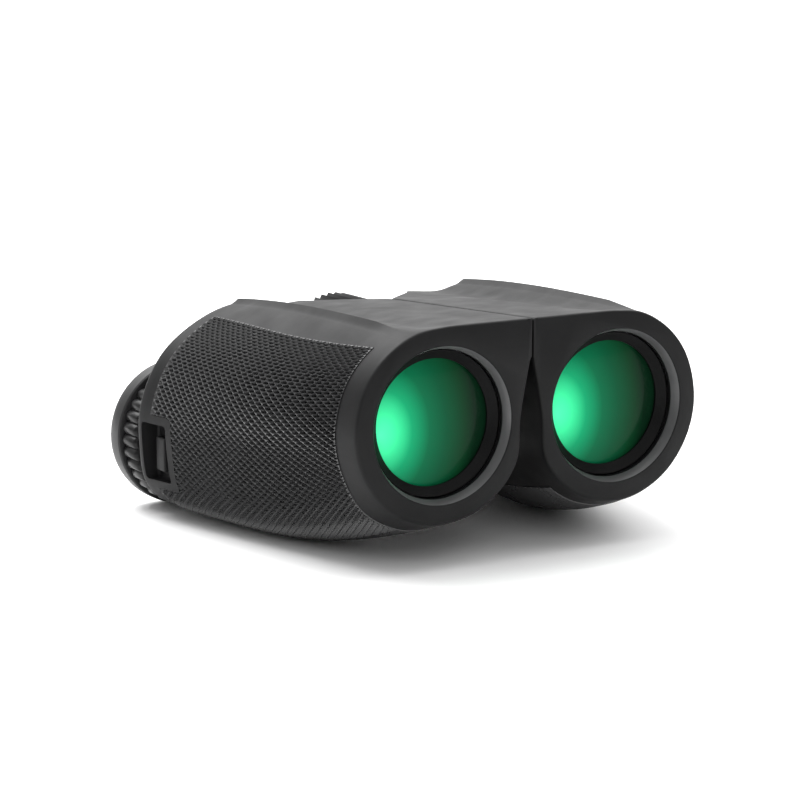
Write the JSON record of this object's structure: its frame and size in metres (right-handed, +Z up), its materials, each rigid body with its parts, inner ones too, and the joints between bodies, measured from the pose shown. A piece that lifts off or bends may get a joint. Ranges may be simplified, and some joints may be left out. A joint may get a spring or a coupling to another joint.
{
  "type": "compact reverse-porro binoculars",
  "caption": "Compact folding binoculars with close-set objectives, wide-set eyepieces, a toothed centre focus wheel, a dioptre ring and textured grips.",
  "frame": {"origin": "centre of the bounding box, on the surface that the binoculars rest on", "axes": "+Z up, -Y towards the objectives, +Y towards the user, +X towards the user's left half"},
  "size_m": [0.1026, 0.0832, 0.0475],
  "materials": {
    "armour": "smooth satin rubber coating",
    "grip": "fine diamond-knurled rubber",
    "black_metal": "matt black",
    "plastic": "moulded, lightly glossy",
    "satin": "satin",
    "coated_glass": "green anti-reflection coating",
    "eye_glass": "coated glass",
    "glass": "polished optical glass",
    "steel": "plain",
    "brass": "turned"
  },
  "bodies": {
    "left_half": {"left_body_shell": "armour", "left_grip_panel": "grip", "left_objective_cell": "black_metal", "left_objective_ring": "black_metal", "left_objective_lens": "coated_glass", "left_prism_shelf": "black_metal", "left_front_prism": "glass", "left_rear_prism": "glass", "left_prism_clip": "steel", "left_rear_cover": "plastic", "left_cover_screw_1": "steel", "left_cover_screw_2": "steel", "left_cover_screw_3": "steel", "hinge_axle": "steel"},
    "right_half": {"right_body_shell": "armour", "right_grip_panel": "grip", "right_objective_cell": "black_metal", "right_objective_ring": "black_metal", "right_objective_lens": "coated_glass", "right_prism_shelf": "black_metal", "right_front_prism": "glass", "right_rear_prism": "glass", "right_prism_clip": "steel", "right_rear_cover": "plastic", "right_cover_screw_1": "steel", "right_cover_screw_2": "steel", "right_cover_screw_3": "steel"},
    "left_ocular": {"left_bridge_arm": "black_metal", "left_ocular_tube": "black_metal", "left_lens_cell": "plastic", "left_field_lens": "glass", "left_eye_lens": "eye_glass", "left_ribbed_ring": "plastic"},
    "right_ocular": {"right_bridge_arm": "black_metal", "right_ocular_tube": "black_metal"},
    "right_lens_carrier": {"right_lens_cell": "plastic", "right_field_lens": "glass", "right_eye_lens": "eye_glass"},
    "dioptre_ring": {"right_dioptre_ring": "plastic"},
    "left_eyecup_sleeve": {"left_eyecup": "satin"},
    "right_eyecup_sleeve": {"right_eyecup": "satin"},
    "focus_drive": {"focus_wheel": "plastic", "wheel_cap": "satin", "focus_screw": "brass"},
    "focus_nut": {"bridge_nut": "brass"}
  },
  "joints": [
    {"name": "interpupillary_fold", "type": "hinge", "parent": "left_half", "child": "right_half", "pos_m": [0, -0.0116, 0.0303], "axis": [0, -1, 0], "range_deg": [0, 28]},
    {"name": "focus_turn", "type": "hinge", "parent": "left_half", "child": "focus_drive", "pos_m": [0, 0.0294, 0.0303], "axis": [0, 1, 0], "range_deg": [-45.1, 135.1]},
    {"name": "nut_travel", "type": "slide", "parent": "left_half", "child": "focus_nut", "axis": [0, 1, 0], "range_m": [-0.00125, 0.00375]},
    {"name": "left_focus_travel", "type": "slide", "parent": "left_half", "child": "left_ocular", "axis": [0, 1, 0], "range_m": [-0.0013, 0.0038]},
    {"name": "right_focus_travel", "type": "slide", "parent": "right_half", "child": "right_ocular", "axis": [0, 1, 0], "range_m": [-0.0013, 0.0038]},
    {"name": "dioptre_turn", "type": "hinge", "parent": "right_ocular", "child": "dioptre_ring", "pos_m": [-0.036, 0.0324, 0.0153], "axis": [0, 1, 0], "range_deg": [-60.1, 60.1]},
    {"name": "dioptre_travel", "type": "slide", "parent": "right_ocular", "child": "right_lens_carrier", "axis": [0, 1, 0], "range_m": [-0.0012, 0.0012]},
    {"name": "left_eyecup_rise", "type": "slide", "parent": "left_ocular", "child": "left_eyecup_sleeve", "axis": [0, 1, 0], "range_m": [0, 0.005]},
    {"name": "right_eyecup_rise", "type": "slide", "parent": "right_ocular", "child": "right_eyecup_sleeve", "axis": [0, 1, 0], "range_m": [0, 0.005]}
  ],
  "couplings": [
    {"joint": "focus_turn", "follows": "nut_travel", "rad_per_m": 628.32},
    {"joint": "left_focus_travel", "follows": "nut_travel", "ratio": 1},
    {"joint": "right_focus_travel", "follows": "nut_travel", "ratio": 1},
    {"joint": "dioptre_turn", "follows": "dioptre_travel", "rad_per_m": 872.66}
  ]
}
